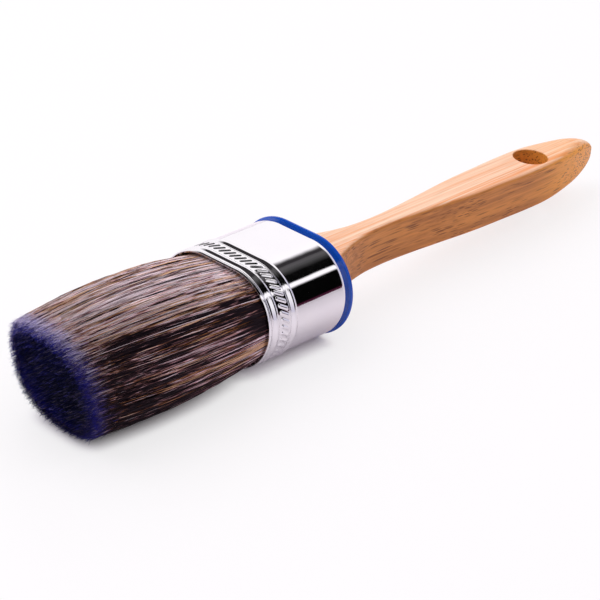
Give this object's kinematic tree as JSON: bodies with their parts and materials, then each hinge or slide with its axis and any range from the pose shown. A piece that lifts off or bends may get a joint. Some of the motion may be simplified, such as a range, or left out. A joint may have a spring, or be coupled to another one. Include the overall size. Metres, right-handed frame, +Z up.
{
  "type": "paint brush",
  "caption": "Oval-ferrule paint brush with a beaded, rib-banded steel sleeve, a plastic collar, a flat shaped bamboo handle with a hanging hole, and a full bundle of dark-tipped bristles.",
  "frame": {"origin": "under the middle of the whole length, at the lowest level of the brush lying on a wide face", "axes": "+X along the brush from the bristle tips to the handle end, +Y across its width, +Z up out of a wide face"},
  "size_m": [0.2634, 0.046, 0.0361],
  "materials": {
    "bamboo": "satin oiled bamboo",
    "collar_plastic": "gloss moulded blue plastic",
    "plated_steel": "mirror-bright plating",
    "resin": "cast resin",
    "spacer_wood": "plain wood",
    "filament": "tapered filaments, brown and gold with dark blue tips"
  },
  "bodies": {
    "root": {"handle": "bamboo", "collar": "collar_plastic", "ferrule": "plated_steel", "setting": "resin", "spacer": "spacer_wood", "bristles": "filament"}
  },
  "joints": []
}
